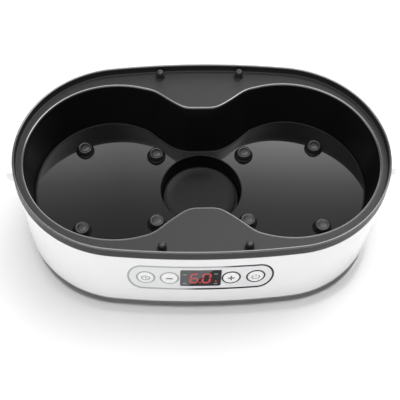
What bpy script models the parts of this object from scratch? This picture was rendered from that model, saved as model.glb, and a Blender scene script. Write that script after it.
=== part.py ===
"""Heated basin with two round wells, a dark one-piece tub in a white oval shell.

Metres, +Z up.  The origin is the middle of the footprint, on the surface that
the feet stand on.  +X runs along the length, -Y is the front with the panel.
"""
import math

import bmesh
import bpy
from mathutils import Matrix, Vector

# ---------------------------------------------------------------- dimensions
GAP = 0.0003               # clearance kept between pieces that touch
RIM_HALF_LENGTH = 0.1965   # outer face of the tub's skirt
RIM_HALF_DEPTH = 0.1190
RIM_END_RADIUS = 0.1143    # radius of the round ends of the rim
BASE_HALF_LENGTH = 0.1915  # outer face of the shell just above its bottom edge
BASE_HALF_DEPTH = 0.1155
BASE_END_RADIUS = 0.1108

LAND_Z = 0.1093            # flat top between lip and wells
LIP_TOP_Z = 0.1183
LIP_THICKNESS = 0.0024
SKIRT_BOTTOM_Z = 0.1045
FLOOR_Z = 0.0501           # floor of the wells
TUB_WALL = 0.0022

WELL_CENTRE_X = 0.0897     # middle of each round well
WELL_RADIUS = 0.0960
NECK_HALF_WIDTH = 0.0623   # mean of the two below, at land height
NECK_FRONT = 0.0602        # from the middle to the tip of the front land
NECK_BACK = 0.0643         # and to the tip of the back land
WALL_DRAFT = 0.0058        # how far the well wall comes in, top to floor
NECK_DRAFT = 0.0075        # extra draft of the wall beside the neck
RECESS_RADIUS = 0.0437     # heater recess in the middle of the floor
HEATER_LEDGE_Z = 0.0282
HEATER_LEDGE_RADIUS = 0.0350

SHELL_STEP = 0.0008        # the shell stands this far inside the skirt
SHELL_WALL = 0.0025
SHELL_TOP_Z = 0.1042
SHELL_BOTTOM_Z = 0.0030
BASE_PLATE_THICKNESS = 0.0024

PANEL_X = -0.0042          # middle of the panel, a little left of the centre line
PANEL_Z = 0.0622
PANEL_HALF_LENGTH = 0.0735
PANEL_HALF_HEIGHT = 0.0250
PANEL_END = 0.0140         # length of the rounded end of the panel
BUTTON_X = (-0.0562, -0.0319, 0.0312, 0.0564)   # from the panel's middle
BUTTON_NAMES = ("timer", "minus", "plus", "power")
BUTTON_HALF_WIDTH = 0.0083
BUTTON_HALF_HEIGHT = 0.0113
WINDOW_HALF_WIDTH = 0.0207
WINDOW_HALF_HEIGHT = 0.0180
BOARD_Y = -0.1010          # front face of the control board
PAD_HEIGHT = 0.0072
PAD_POINTS = (("outer", 0.1279, 0.0515), ("inner", 0.0487, 0.0436))
STUD_POINT = (0.0431, 0.1080)
FOOT_POINT = (0.1320, 0.0740)
SCREW_POINT = (0.0860, 0.0960)
GRIP_REACH = 0.2045

SECTIONS = 72              # points round the rim, the wells and the shell


# ---------------------------------------------------------------- materials
def material(name, colour, roughness, metallic=0.0):
    """A plain Principled material."""
    mat = bpy.data.materials.get(name)
    if mat is None:
        mat = bpy.data.materials.new(name)
        mat.use_nodes = True
        shader = mat.node_tree.nodes["Principled BSDF"]
        shader.inputs["Base Color"].default_value = (*colour, 1.0)
        shader.inputs["Roughness"].default_value = roughness
        shader.inputs["Metallic"].default_value = metallic
        mat.diffuse_color = (*colour, 1.0)
    return mat


BLACK_GLOSS = ("tub_black", (0.020, 0.020, 0.022), 0.16)
WHITE_GLOSS = ("shell_white", (0.86, 0.86, 0.87), 0.14)
PANEL_GREY = ("panel_grey", (0.68, 0.69, 0.70), 0.32)
CHROME = ("chrome", (0.70, 0.70, 0.72), 0.08, 1.0)
SMOKED = ("window_black", (0.006, 0.006, 0.007), 0.06)
RUBBER = ("pad_rubber", (0.040, 0.040, 0.042), 0.62)
COATED = ("heater_coated", (0.035, 0.035, 0.036), 0.70)
SILICONE = ("seal_silicone", (0.55, 0.20, 0.12), 0.60)
STEEL = ("steel", (0.55, 0.56, 0.57), 0.32, 1.0)
ALUMINIUM = ("aluminium", (0.72, 0.73, 0.74), 0.38, 1.0)
BOARD_GREEN = ("board_green", (0.03, 0.16, 0.07), 0.45)
DARK_PLASTIC = ("dark_plastic", (0.035, 0.035, 0.038), 0.48)
BRASS = ("brass", (0.72, 0.52, 0.22), 0.28, 1.0)
BLUE_FILM = ("film_blue", (0.05, 0.12, 0.35), 0.40)
YELLOW_TAPE = ("tape_yellow", (0.75, 0.55, 0.08), 0.50)


# ---------------------------------------------------------------- outlines
def oval_reach(angle, length, depth, end_radius):
    """Distance from the middle to a four-arc oval along one direction."""
    c = abs(math.cos(angle))
    s = abs(math.sin(angle))
    end = length - end_radius
    big = (end * end + depth * depth - end_radius ** 2) / (2 * (depth - end_radius))
    joint = Vector((big * end / (big - end_radius), 0))
    joint.y = (depth - big) + big * (big - depth) / (big - end_radius)
    if math.atan2(s, c) < math.atan2(joint.y, joint.x):
        return end * c + math.sqrt(end_radius ** 2 - (end * s) ** 2)
    return (depth - big) * s + math.sqrt(big ** 2 - ((big - depth) * c) ** 2)


def well_field(x, y):
    """Negative inside the two joined wells, zero on the edge of the opening."""
    out = abs(x)
    if out >= WELL_CENTRE_X:
        return math.hypot(out - WELL_CENTRE_X, y) - WELL_RADIUS
    tip, blunt = (NECK_FRONT, 0.0140) if y < 0 else (NECK_BACK, 0.0160)
    tongue = tip + ((0.8 * out) ** 5 + blunt ** 5) ** 0.2 - blunt
    circle = math.sqrt(WELL_RADIUS ** 2 - (out - WELL_CENTRE_X) ** 2)
    share = min(max((out - 0.036) / 0.026, 0.0), 1.0)
    share = share * share * (3 - 2 * share)
    return abs(y) - tongue - (circle - tongue) * share


def well_reach(angle):
    """Distance from the middle to the edge of the opening along one direction."""
    low, high = 0.02, 0.25
    for _ in range(48):
        mid = (low + high) / 2
        if well_field(mid * math.cos(angle), mid * math.sin(angle)) < 0:
            low = mid
        else:
            high = mid
    return low


def section_angles(count):
    """Directions spaced evenly along the opening, closer together at the neck."""
    fine = 400
    places = []
    total = 0.0
    last = None
    for i in range(fine + 1):
        angle = math.pi / 2 * i / fine
        reach = well_reach(angle)
        point = Vector((reach * math.cos(angle), reach * math.sin(angle)))
        if last is not None:
            weight = 1 + 1.3 * math.exp(-(point.x / 0.026) ** 2)
            total += (point - last).length * weight
        places.append((total, angle))
        last = point
    quarter = count // 4
    first = []
    for k in range(quarter + 1):
        goal = total * k / quarter
        i = next(n for n in range(fine + 1) if places[n][0] >= goal - 1e-12)
        if i == 0:
            first.append(0.0)
            continue
        (s0, a0), (s1, a1) = places[i - 1], places[i]
        first.append(a0 + (a1 - a0) * (goal - s0) / (s1 - s0))
    half = first + [math.pi - a for a in reversed(first[:-1])]
    return half + [math.pi * 2 - a for a in reversed(half[1:-1])]


ANGLES = section_angles(SECTIONS)


def rim_ring(inset, z):
    """Ring that follows the rim, moved in by inset."""
    ring = []
    for a in ANGLES:
        reach = oval_reach(a, RIM_HALF_LENGTH - inset, RIM_HALF_DEPTH - inset,
                           RIM_END_RADIUS - inset)
        ring.append((reach * math.cos(a), reach * math.sin(a), z))
    return ring


def shell_size(z):
    """Half length, half depth and end radius of the shell's outer face at z."""
    t = (SHELL_TOP_Z - z) / (SHELL_TOP_Z - SHELL_BOTTOM_Z)
    length = (RIM_HALF_LENGTH - SHELL_STEP) * (1 - t) + BASE_HALF_LENGTH * t
    depth = (RIM_HALF_DEPTH - SHELL_STEP) * (1 - t) + BASE_HALF_DEPTH * t
    radius = (RIM_END_RADIUS - SHELL_STEP) * (1 - t) + BASE_END_RADIUS * t
    return length, depth, radius


def shell_ring(inset, z, angles=None):
    """Ring that follows the shell's tapered outer face, moved in by inset."""
    length, depth, radius = shell_size(z)
    ring = []
    for a in angles or ANGLES:
        reach = oval_reach(a, length - inset, depth - inset, radius - inset)
        ring.append((reach * math.cos(a), reach * math.sin(a), z))
    return ring


def front_y(x, z, inset=0.0):
    """Y of the shell's front face at x and z, moved in by inset."""
    length, depth, radius = shell_size(z)
    end = length - radius
    big = (end * end + depth * depth - radius ** 2) / (2 * (depth - radius))
    return -(math.sqrt((big - inset) ** 2 - x * x) - (big - depth))


def well_points():
    """Edge of the opening with the direction that points into the well."""
    points = []
    for a in ANGLES:
        reach = well_reach(a)
        x, y = reach * math.cos(a), reach * math.sin(a)
        step = 1e-5
        dx = well_field(x + step, y) - well_field(x - step, y)
        dy = well_field(x, y + step) - well_field(x, y - step)
        size = math.hypot(dx, dy)
        points.append((x, y, -dx / size, -dy / size))
    return points


WELL = well_points()


def well_ring(inset, z):
    """Ring along the opening, moved into the well by inset."""
    return [(x + nx * inset, y + ny * inset, z) for x, y, nx, ny in WELL]


def wall_ring(share, z, outward=0.0):
    """Ring on the well wall: share 0 at the opening, 1 at the floor."""
    ring = []
    for x, y, nx, ny in WELL:
        neck = NECK_DRAFT + (NECK_FRONT if y < 0 else NECK_BACK) - NECK_HALF_WIDTH
        draft = WALL_DRAFT + neck * math.exp(-(abs(x) / 0.075) ** 2.5)
        inset = draft * share - outward
        ring.append((x + nx * inset, y + ny * inset, z))
    return ring


def round_ring(radius, z, guide):
    """Circle whose points face those of a guide ring."""
    ring = []
    for x, y, _ in guide:
        size = math.hypot(x, y)
        ring.append((x / size * radius, y / size * radius, z))
    return ring


# ---------------------------------------------------------------- builders
def finish(obj, spec, angle=40):
    """Smooth shading with sharp edges, and the material."""
    mesh = obj.data
    mesh.shade_smooth()
    mesh.set_sharp_from_angle(angle=math.radians(angle))
    mesh.materials.clear()
    mesh.materials.append(material(*spec))
    return obj


def make_object(name, bm, spec, angle=40):
    """Object from a bmesh, with faces turned outward."""
    bmesh.ops.recalc_face_normals(bm, faces=bm.faces)
    mesh = bpy.data.meshes.new(name)
    bm.to_mesh(mesh)
    bm.free()
    obj = bpy.data.objects.new(name, mesh)
    bpy.context.collection.objects.link(obj)
    return finish(obj, spec, angle)


def loft(name, rings, spec, closed=True, angle=40):
    """Skin through rings of equal count; closed joins the last to the first."""
    bm = bmesh.new()
    rows = [[bm.verts.new(p) for p in ring] for ring in rings]
    count = len(rows[0])
    pairs = list(zip(rows, rows[1:]))
    if closed:
        pairs.append((rows[-1], rows[0]))
    else:
        bm.faces.new(rows[0])
        bm.faces.new(rows[-1])
    for one, two in pairs:
        for i in range(count):
            j = (i + 1) % count
            bm.faces.new((one[i], one[j], two[j], two[i]))
    return make_object(name, bm, spec, angle)


def turned(name, profile, spec, sides=24, place=(0, 0, 0), closed=False, angle=40):
    """Solid of revolution about Z; an open profile gets flat ends."""
    rings = []
    for radius, z in profile:
        rings.append([(radius * math.cos(2 * math.pi * i / sides),
                       radius * math.sin(2 * math.pi * i / sides), z)
                      for i in range(sides)])
    obj = loft(name, rings, spec, closed, angle)
    obj.location = place
    return obj


def box(name, low, high, spec, bevel=0.0):
    """Box between two corners, with its edges rounded a little."""
    bm = bmesh.new()
    bmesh.ops.create_cube(bm, size=1.0)
    size = Vector(high) - Vector(low)
    bmesh.ops.scale(bm, vec=size, verts=bm.verts)
    if bevel:
        bmesh.ops.bevel(bm, geom=bm.edges[:], offset=bevel, segments=1, affect="EDGES")
    obj = make_object(name, bm, spec, 30)
    obj.location = (Vector(high) + Vector(low)) / 2
    return obj


def prism_y(name, outline, y_low, y_high):
    """Straight prism along Y over an outline of (x, z) points."""
    rings = [[(x, y, z) for x, z in outline] for y in (y_low, y_high)]
    return loft(name, rings, DARK_PLASTIC, False)


def stadium(cx, cz, half_length, half_height, end, grow=0.0, count=8):
    """Bar outline with elliptical ends, grown evenly by grow."""
    points = []
    for side in (1, -1):
        for i in range(count + 1):
            a = math.pi * (i / count - 0.5)
            x = half_length - end + (end + grow) * math.cos(a)
            z = (half_height + grow) * math.sin(a)
            points.append((cx + side * x, cz + side * z))
    return points


def ellipse(cx, cz, half_width, half_height, grow=0.0, count=20):
    """Ellipse outline, grown evenly by grow."""
    return [(cx + (half_width + grow) * math.cos(2 * math.pi * i / count),
             cz + (half_height + grow) * math.sin(2 * math.pi * i / count))
            for i in range(count)]


def round_box_outline(cx, cz, half_width, half_height, radius, grow=0.0, count=4):
    """Rectangle outline with round corners, grown evenly by grow."""
    points = []
    for quarter, (sx, sz) in enumerate(((1, 1), (-1, 1), (-1, -1), (1, -1))):
        for i in range(count + 1):
            a = math.pi / 2 * (quarter + i / count)
            x = sx * (half_width - radius) + (radius + grow) * math.cos(a)
            z = sz * (half_height - radius) + (radius + grow) * math.sin(a)
            points.append((cx + x, cz + z))
    return points


def bake(obj, spec, angle=40):
    """Keep the evaluated mesh and drop the modifiers."""
    graph = bpy.context.evaluated_depsgraph_get()
    mesh = bpy.data.meshes.new_from_object(obj.evaluated_get(graph))
    obj.modifiers.clear()
    obj.data = mesh
    return finish(obj, spec, angle)


def combine(obj, others, operation, spec, angle=40):
    """Boolean of obj with each of the others, which are then removed."""
    for other in others:
        mod = obj.modifiers.new(operation.lower(), "BOOLEAN")
        mod.operation = operation
        mod.solver = "EXACT"
        mod.object = other
    bpy.context.view_layer.update()
    bake(obj, spec, angle)
    for other in others:
        bpy.data.objects.remove(other)
    return obj


def set_origin(obj, point):
    """Move the object's origin without moving its mesh in the world."""
    shift = Vector(point) - obj.location
    obj.data.transform(Matrix.Translation(-shift))
    obj.location = point


# ---------------------------------------------------------------- tub and seal
def make_tub():
    floor = wall_ring(1.0, FLOOR_Z, -0.0022)
    under = wall_ring(1.0, FLOOR_Z - TUB_WALL, -0.0010)
    lip_in = LIP_THICKNESS
    rings = [
        rim_ring(0.0, SKIRT_BOTTOM_Z),
        rim_ring(0.0, LIP_TOP_Z - 0.0011),
        rim_ring(0.0007, LIP_TOP_Z),
        rim_ring(lip_in - 0.0007, LIP_TOP_Z),
        rim_ring(lip_in, LIP_TOP_Z - 0.0012),
        rim_ring(lip_in + 0.0002, LAND_Z + 0.0009),
        rim_ring(lip_in + 0.0010, LAND_Z),
        well_ring(-0.0018, LAND_Z),
        well_ring(-0.0006, LAND_Z - 0.0004),
        well_ring(0.0, LAND_Z - 0.0018),
        wall_ring(0.95, FLOOR_Z + 0.0050),
        wall_ring(1.0, FLOOR_Z + 0.0010, -0.0006),
        floor,
        round_ring(RECESS_RADIUS + 0.0014, FLOOR_Z, floor),
        round_ring(RECESS_RADIUS, FLOOR_Z - 0.0016, floor),
        round_ring(RECESS_RADIUS - 0.0009, HEATER_LEDGE_Z, floor),
        round_ring(HEATER_LEDGE_RADIUS, HEATER_LEDGE_Z, floor),
        round_ring(HEATER_LEDGE_RADIUS, HEATER_LEDGE_Z - TUB_WALL, floor),
        round_ring(RECESS_RADIUS + 0.0012, HEATER_LEDGE_Z - TUB_WALL, floor),
        round_ring(RECESS_RADIUS + 0.0023, FLOOR_Z - TUB_WALL, floor),
        under,
        wall_ring(0.97, FLOOR_Z + 0.0035, TUB_WALL),
        well_ring(-TUB_WALL, LAND_Z - 0.0045),
        well_ring(-TUB_WALL - 0.0015, LAND_Z - 0.0025),
        rim_ring(lip_in, LAND_Z - 0.0025),
        rim_ring(lip_in, SKIRT_BOTTOM_Z),
    ]
    return loft("tub", rings, BLACK_GLOSS, True, 38)


def make_gasket():
    top = LAND_Z - 0.0025 - GAP
    low = top - 0.0010
    rings = [rim_ring(0.0029, top), rim_ring(0.0050, top),
             rim_ring(0.0050, low), rim_ring(0.0029, low)]
    rings = [ring[::2] for ring in rings]
    return loft("rim_gasket", rings, SILICONE, True)


# ---------------------------------------------------------------- shell
def make_shell():
    tongue_top = LAND_Z - 0.0025 - GAP - 0.0010 - GAP
    bottom = SHELL_BOTTOM_Z
    shelf = bottom + BASE_PLATE_THICKNESS + GAP
    rings = [
        shell_ring(0.0, SHELL_TOP_Z),
        shell_ring(0.0, 0.0560),
        shell_ring(0.0, bottom + 0.0052),
        shell_ring(0.0006, bottom + 0.0022),
        shell_ring(0.0020, bottom + 0.0006),
        shell_ring(0.0040, bottom),
        shell_ring(0.0082, bottom),
        shell_ring(0.0082, shelf),
        shell_ring(0.0300, shelf),
        shell_ring(0.0300, shelf + 0.0030),
        shell_ring(0.0060, shelf + 0.0030),
        shell_ring(SHELL_WALL, shelf + 0.0090),
        shell_ring(SHELL_WALL, 0.0560),
        shell_ring(SHELL_WALL, SHELL_TOP_Z - 0.0060),
        rim_ring(0.0050, SHELL_TOP_Z - 0.0030),
        rim_ring(0.0050, tongue_top),
        rim_ring(0.0029, tongue_top),
        rim_ring(0.0029, SHELL_TOP_Z),
    ]
    shell = loft("shell", rings, WHITE_GLOSS, True, 38)
    cutters = [prism_y("cut_panel", panel_outline(0.0016), -0.14, -0.09)]
    cutters.append(box("cut_inlet", (0.0547, 0.09, 0.0197), (0.0853, 0.14, 0.0403),
                       DARK_PLASTIC))
    for side in (-1, 1):
        low = (min(side * 0.17, side * 0.22), -0.0093, 0.0857)
        high = (max(side * 0.17, side * 0.22), 0.0093, 0.0963)
        cutters.append(box("cut_grip", low, high, DARK_PLASTIC))
    for sx in (-1, 1):
        for sy in (-1, 1):
            place = (sx * SCREW_POINT[0], sy * SCREW_POINT[1], 0.0)
            cutters.append(turned("cut_screw", [(0.0018, 0.0), (0.0018, 0.02)],
                                  DARK_PLASTIC, 12, place))
    return combine(shell, cutters, "DIFFERENCE", WHITE_GLOSS, 38)


def make_base_plate():
    angles = ANGLES[::2]
    top = SHELL_BOTTOM_Z + BASE_PLATE_THICKNESS
    rings = [shell_ring(0.0086, SHELL_BOTTOM_Z, angles), shell_ring(0.0086, top, angles)]
    plate = loft("base_plate", rings, DARK_PLASTIC, False)
    posts = []
    for x in (-0.138, -0.072):
        for y in (-0.028, 0.028):
            posts.append(turned("post", [(0.0035, top - 0.0010), (0.0030, 0.0127)],
                                DARK_PLASTIC, 12, (x, y, 0)))
    combine(plate, posts, "UNION", DARK_PLASTIC)
    cutters = []
    for sx in (-1, 1):
        for sy in (-1, 1):
            place = (sx * SCREW_POINT[0], sy * SCREW_POINT[1], 0.0)
            cutters.append(turned("cut_screw", [(0.0019, 0.0), (0.0019, 0.02)],
                                  DARK_PLASTIC, 12, place))
    for x in (-0.020, -0.010, 0.0, 0.010, 0.020):
        cutters.append(box("cut_vent", (x - 0.0015, -0.022, 0.0), (x + 0.0015, 0.022, 0.01),
                           DARK_PLASTIC))
    return combine(plate, cutters, "DIFFERENCE", DARK_PLASTIC)


def make_feet():
    for sx, side in ((-1, "left"), (1, "right")):
        for sy, end in ((-1, "front"), (1, "back")):
            spot = (sx * FOOT_POINT[0], sy * FOOT_POINT[1], 0.0)
            turned(f"foot_{end}_{side}", [(0.0092, 0.0), (0.0100, 0.0008), (0.0100, 0.0027)],
                   RUBBER, 20, spot)
            spot = (sx * SCREW_POINT[0], sy * SCREW_POINT[1], 0.0)
            turned(f"base_screw_{end}_{side}",
                   [(0.0028, 0.0010), (0.0034, 0.0015), (0.0034, 0.0027),
                    (0.0015, 0.0027), (0.0015, 0.0084), (0.0009, 0.0092)],
                   STEEL, 12, spot)


def make_grips():
    """White lug in a slot at each end, with a catch behind the wall."""
    outline = [(GRIP_REACH, 0.1000), (GRIP_REACH, 0.0912), (0.2030, 0.0880),
               (0.1957, 0.0846), (0.1957, 0.1010), (0.2025, 0.1014)]
    for side, name in ((-1, "left"), (1, "right")):
        rings = [[(side * x, y, z) for x, z in outline] for y in (-0.0113, 0.0113)]
        lug = loft(f"grip_{name}", rings, WHITE_GLOSS, False, 30)
        near, far = sorted((side * 0.1900, side * 0.1970))
        neck = box("neck", (near, -0.0090, 0.0862), (far, 0.0090, 0.0958), WHITE_GLOSS)
        near, far = sorted((side * 0.1890, side * 0.1914))
        catch = box("catch", (near, -0.0110, 0.0840), (far, 0.0110, 0.0980), WHITE_GLOSS)
        combine(lug, [neck, catch], "UNION", WHITE_GLOSS, 30)


# ---------------------------------------------------------------- pads and studs
def make_pads():
    profile = [(0.0103, 0.0), (0.0085, 0.0022), (0.0079, 0.0052), (0.0068, 0.0066),
               (0.0040, PAD_HEIGHT)]
    for sx, side in ((-1, "left"), (1, "right")):
        for sy, end in ((-1, "front"), (1, "back")):
            for row, x, y in PAD_POINTS:
                spot = (sx * x, sy * y, FLOOR_Z + GAP)
                turned(f"pad_{side}_{row}_{end}", profile, RUBBER, 16, spot)


def make_studs():
    profile = [(0.0050, 0.0), (0.0044, 0.0008), (0.0041, 0.0062), (0.0032, 0.0084),
               (0.0016, 0.0094)]
    for sx, side in ((-1, "left"), (1, "right")):
        for sy, end in ((-1, "front"), (1, "back")):
            spot = (sx * STUD_POINT[0], sy * STUD_POINT[1], LAND_Z + GAP)
            turned(f"stud_{end}_{side}", profile, RUBBER, 12, spot)


# ---------------------------------------------------------------- heater
def make_heater():
    seal_low = HEATER_LEDGE_Z + GAP
    seal_top = seal_low + 0.0007
    turned("heater_seal", [(0.0355, seal_low), (0.0418, seal_low), (0.0418, seal_top),
                           (0.0355, seal_top)], SILICONE, 32, closed=True)
    plate_low = seal_top + GAP
    turned("heater_plate", [(0.0022, 0.0140), (0.0022, plate_low), (0.0414, plate_low),
                            (0.0418, plate_low + 0.0004), (0.0418, plate_low + 0.0028),
                            (0.0412, plate_low + 0.0032), (0.0388, plate_low + 0.0032),
                            (0.0382, plate_low + 0.0026)], COATED, 36)
    top = plate_low - GAP
    turned("heater_element", [(0.0120, top), (0.0320, top), (0.0320, 0.0240),
                              (0.0120, 0.0240)], ALUMINIUM, 28, closed=True)
    turned("heater_clamp", [(0.0026, 0.0217), (0.0026, 0.0237), (0.0400, 0.0237),
                            (0.0400, 0.0257), (0.0430, 0.0257), (0.0430, 0.0217)],
           STEEL, 32, closed=True)
    turned("heater_nut", [(0.0030, 0.0214), (0.0055, 0.0214), (0.0055, 0.0174),
                          (0.0030, 0.0174)], STEEL, 6, closed=True, angle=20)
    sensor = turned("temperature_sensor", [(0.0030, -0.0080), (0.0030, 0.0080)],
                    ALUMINIUM, 14)
    sensor.rotation_euler = (math.pi / 2, 0, 0)
    sensor.location = (0.0200, 0.0, 0.0184)
    box("thermal_fuse", (-0.0260, -0.0090, 0.0164), (-0.0160, 0.0090, 0.0214),
        BLUE_FILM, 0.0008)


# ---------------------------------------------------------------- front panel
def panel_outline(grow):
    return stadium(PANEL_X, PANEL_Z, PANEL_HALF_LENGTH, PANEL_HALF_HEIGHT, PANEL_END, grow)


def front_slab(name, outer, inner, low, high, spec):
    """Curved slab behind the shell's front face, between two depths."""
    columns = 18
    bm = bmesh.new()
    grid = []
    for depth in (outer, inner):
        rows = []
        for z in (low, (low + high) / 2, high):
            row = []
            for i in range(columns + 1):
                x = PANEL_X + (i / columns - 0.5) * 0.162
                row.append(bm.verts.new((x, front_y(x, z, depth), z)))
            rows.append(row)
        grid.append(rows)
    for rows in grid:
        for one, two in zip(rows, rows[1:]):
            for i in range(columns):
                bm.faces.new((one[i], one[i + 1], two[i + 1], two[i]))
    for k in (0, -1):
        for i in range(columns):
            bm.faces.new((grid[0][k][i], grid[0][k][i + 1], grid[1][k][i + 1], grid[1][k][i]))
    for k in (0, -1):
        for j in range(2):
            bm.faces.new((grid[0][j][k], grid[0][j + 1][k], grid[1][j + 1][k], grid[1][j][k]))
    return make_object(name, bm, spec, 30)


def front_piece(name, outline, outer, inner, spec, holes=()):
    """Piece of the curved front: an outline between two depths, less holes."""
    zs = [z for _, z in outline]
    obj = front_slab(name, outer, inner, min(zs) - 0.002, max(zs) + 0.002, spec)
    cutter = prism_y("cut", outline, -0.14, -0.09)
    combine(obj, [cutter], "INTERSECT", spec, 30)
    if holes:
        cutters = [prism_y("cut", hole, -0.14, -0.09) for hole in holes]
        combine(obj, cutters, "DIFFERENCE", spec, 30)
    return obj


def button_outline(k, grow):
    return ellipse(PANEL_X + BUTTON_X[k], PANEL_Z, BUTTON_HALF_WIDTH, BUTTON_HALF_HEIGHT, grow)


def window_outline(grow):
    return round_box_outline(PANEL_X, PANEL_Z, WINDOW_HALF_WIDTH, WINDOW_HALF_HEIGHT,
                             0.0022, grow)


def make_panel():
    openings = [button_outline(k, 0.0017) for k in range(4)]
    openings.append(window_outline(GAP))
    plate = front_piece("panel_plate", panel_outline(0.0), 0.0002, 0.0024, PANEL_GREY,
                        openings)
    flange = front_piece("flange", panel_outline(0.0050), 0.0030, 0.0044, PANEL_GREY,
                         [panel_outline(-0.0015)])
    neck = front_piece("neck", panel_outline(0.0), 0.0018, 0.0036, PANEL_GREY,
                       [panel_outline(-0.0018)])
    posts = []
    for x in (-0.0667, 0.0667):
        for z in (-0.012, 0.012):
            post = turned("post", [(0.0022, 0.0), (0.0022, 0.0115)], PANEL_GREY, 10)
            post.rotation_euler = (math.pi / 2, 0, 0)
            post.location = (PANEL_X + x, BOARD_Y - GAP, PANEL_Z + z)
            posts.append(post)
    combine(plate, [neck, flange] + posts, "UNION", PANEL_GREY, 30)
    front_piece("panel_trim", panel_outline(0.0013), -0.0003, 0.0016, CHROME,
                [panel_outline(0.0003)])
    front_piece("display_window", window_outline(0.0), -0.0001, 0.0022, SMOKED)
    for k, name in enumerate(BUTTON_NAMES):
        front_piece(f"ring_{name}", button_outline(k, 0.0014), -0.0002, 0.0017, CHROME,
                    [button_outline(k, 0.0004)])
        make_button(k, name)
    box("control_board", (PANEL_X - 0.0735, BOARD_Y, PANEL_Z - 0.0190),
        (PANEL_X + 0.0735, BOARD_Y + 0.0016, PANEL_Z + 0.0190), BOARD_GREEN)
    box("display_module", (PANEL_X - 0.0190, -0.1135, PANEL_Z - 0.0150),
        (PANEL_X + 0.0190, BOARD_Y - GAP, PANEL_Z + 0.0150), DARK_PLASTIC, 0.0004)


def make_button(k, name):
    """Cap with a catch behind the panel and a stem toward its switch."""
    x = PANEL_X + BUTTON_X[k]
    cap = front_piece(f"button_{name}", button_outline(k, 0.0), -0.0006, 0.0028, WHITE_GLOSS)
    catch = front_piece("catch", button_outline(k, 0.0026), 0.0027, 0.0037, WHITE_GLOSS)
    stem_end = BOARD_Y - 0.0048
    stem = box("stem", (x - 0.0020, front_y(x, PANEL_Z, 0.0032), PANEL_Z - 0.0020),
               (x + 0.0020, stem_end, PANEL_Z + 0.0020), WHITE_GLOSS)
    combine(cap, [catch, stem], "UNION", WHITE_GLOSS, 30)
    set_origin(cap, (x, front_y(x, PANEL_Z, -0.0006), PANEL_Z))
    box(f"switch_{name}", (x - 0.0030, BOARD_Y - 0.0036, PANEL_Z - 0.0030),
        (x + 0.0030, BOARD_Y - GAP, PANEL_Z + 0.0030), DARK_PLASTIC, 0.0003)


# ---------------------------------------------------------------- electrics below
def make_power():
    deck = 0.0127 + GAP
    box("power_board", (-0.145, -0.036, deck), (-0.065, 0.036, deck + 0.0016), BOARD_GREEN)
    top = deck + 0.0016 + GAP
    box("transformer", (-0.136, -0.012, top), (-0.108, 0.014, top + 0.0210),
        YELLOW_TAPE, 0.0012)
    box("relay", (-0.098, -0.026, top), (-0.079, -0.010, top + 0.0155), BLUE_FILM, 0.0006)
    turned("capacitor", [(0.0076, 0.0), (0.0080, 0.0006), (0.0080, 0.0190), (0.0072, 0.0200)],
           DARK_PLASTIC, 18, (-0.088, 0.016, top))


def make_inlet():
    """Mains socket in the back wall, open toward +Y, with two pins."""
    back = 0.1160
    body = box("power_inlet", (0.0550, 0.0900, 0.0200), (0.0850, back, 0.0400),
               DARK_PLASTIC)
    cavity = box("cut", (0.0590, 0.0960, 0.0240), (0.0810, 0.1300, 0.0360), DARK_PLASTIC)
    cutters = [cavity]
    for x in (0.0650, 0.0750):
        hole = turned("cut", [(0.0016, -0.02), (0.0016, 0.02)], DARK_PLASTIC, 12)
        hole.rotation_euler = (math.pi / 2, 0, 0)
        hole.location = (x, 0.0950, 0.0300)
        cutters.append(hole)
    combine(body, cutters, "DIFFERENCE", DARK_PLASTIC, 30)
    for x, name in ((0.0650, "left"), (0.0750, "right")):
        pin = turned(f"inlet_pin_{name}", [(0.0012, -0.0110), (0.0012, 0.0100),
                                           (0.0007, 0.0108)], BRASS, 12)
        pin.rotation_euler = (-math.pi / 2, 0, 0)
        pin.location = (x, 0.0975, 0.0300)


def main():
    for obj in list(bpy.data.objects):
        bpy.data.objects.remove(obj)
    make_tub()
    make_gasket()
    make_shell()
    make_base_plate()
    make_feet()
    make_grips()
    make_pads()
    make_studs()
    make_heater()
    make_panel()
    make_power()
    make_inlet()


main()
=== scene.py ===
"""Looks for the foot spa basin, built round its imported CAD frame.

Metres, +Z up, the CAD's own frame: -Y is the front with the panel, and the
feet stand on z = 0.
"""
import math
from functools import partial

import bmesh
import bpy
from mathutils import Matrix, Vector


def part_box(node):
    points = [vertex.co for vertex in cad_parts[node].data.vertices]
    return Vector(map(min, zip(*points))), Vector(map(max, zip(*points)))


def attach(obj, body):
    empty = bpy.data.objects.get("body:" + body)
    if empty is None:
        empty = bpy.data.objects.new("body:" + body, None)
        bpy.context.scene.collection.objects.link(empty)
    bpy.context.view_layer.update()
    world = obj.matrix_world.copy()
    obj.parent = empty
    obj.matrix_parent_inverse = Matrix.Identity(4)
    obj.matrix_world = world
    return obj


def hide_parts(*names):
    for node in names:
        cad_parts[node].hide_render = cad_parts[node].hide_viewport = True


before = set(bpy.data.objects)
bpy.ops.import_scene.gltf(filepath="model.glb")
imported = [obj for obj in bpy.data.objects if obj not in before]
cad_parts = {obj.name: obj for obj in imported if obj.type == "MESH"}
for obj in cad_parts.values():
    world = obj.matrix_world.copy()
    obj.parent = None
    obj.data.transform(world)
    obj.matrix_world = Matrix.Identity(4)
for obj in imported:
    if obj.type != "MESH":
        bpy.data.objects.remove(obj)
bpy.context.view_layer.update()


# ---- places and sizes
def box(node):
    """Lowest and highest corner of a CAD node, to the micrometre."""
    return [[round(value, 6) for value in corner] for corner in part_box(node)]


def middle(node):
    """Middle of a CAD node's box."""
    return [(low + high) / 2 for low, high in zip(*box(node))]


def under(node):
    """Lowest point on the upright axis of a CAD node."""
    x, y, _ = middle(node)
    return (x, y, box(node)[0][2])


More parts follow.
